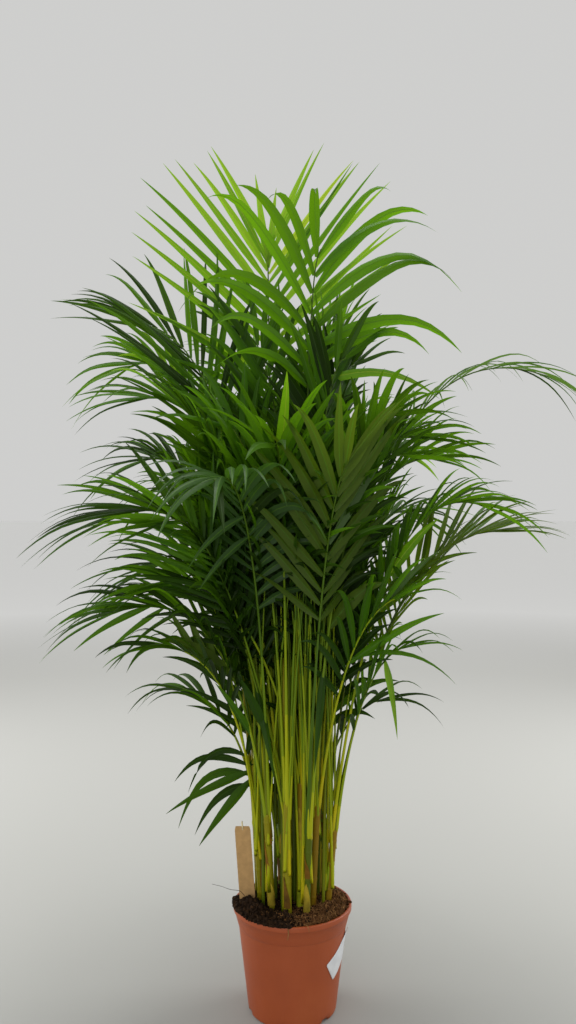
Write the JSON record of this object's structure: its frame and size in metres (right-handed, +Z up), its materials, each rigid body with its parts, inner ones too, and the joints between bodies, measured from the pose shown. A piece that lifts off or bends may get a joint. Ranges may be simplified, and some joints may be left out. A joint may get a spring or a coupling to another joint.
{
  "type": "potted areca palm",
  "caption": "Clump-forming palm in a round nursery pot: thin yellow-green canes, arching feather fronds with narrow drooping leaflets, a blank card tag and a blank label.",
  "frame": {"origin": "centre of the pot's flat underside, at floor level", "axes": "+Z up along the pot's axis, -Y towards the side the palm is seen from, +X to its right"},
  "size_m": [0.9227, 0.7748, 1.4169],
  "materials": {
    "pot": "matte",
    "soil": "rough, crumbly",
    "card_tag": "plain card",
    "pot_label": "satin paper, blank",
    "canes": "smooth, slightly waxy",
    "fronds": "satin leaf"
  },
  "bodies": {
    "root": {"pot": "pot", "soil": "soil", "card_tag": "card_tag", "pot_label": "pot_label", "cane_01": "canes", "cane_02": "canes", "cane_03": "canes", "cane_04": "canes", "cane_05": "canes", "cane_06": "canes", "cane_07": "canes", "cane_08": "canes", "cane_09": "canes", "cane_10": "canes", "cane_11": "canes", "cane_12": "canes", "cane_13": "canes", "cane_14": "canes", "frond_back_1": "fronds", "frond_back_2": "fronds", "frond_back_3": "fronds", "frond_back_4": "fronds", "frond_back_5": "fronds", "frond_back_6": "fronds", "frond_back_7": "fronds", "frond_front_1": "fronds", "frond_front_2": "fronds", "frond_front_3": "fronds", "frond_front_4": "fronds", "frond_front_5": "fronds", "frond_front_6": "fronds", "frond_front_7": "fronds", "frond_front_8": "fronds", "frond_inner_1": "fronds", "frond_inner_2": "fronds", "frond_inner_3": "fronds", "frond_left_1": "fronds", "frond_left_10": "fronds", "frond_left_11": "fronds", "frond_left_12": "fronds", "frond_left_2": "fronds", "frond_left_3": "fronds", "frond_left_4": "fronds", "frond_left_5": "fronds", "frond_left_6": "fronds", "frond_left_7": "fronds", "frond_left_8": "fronds", "frond_left_9": "fronds", "frond_right_1": "fronds", "frond_right_2": "fronds", "frond_right_3": "fronds", "frond_right_4": "fronds", "frond_right_5": "fronds", "frond_right_6": "fronds", "frond_right_7": "fronds", "frond_right_8": "fronds", "frond_right_9": "fronds", "frond_top_1": "fronds", "frond_top_2": "fronds", "frond_top_3": "fronds"}
  },
  "joints": []
}
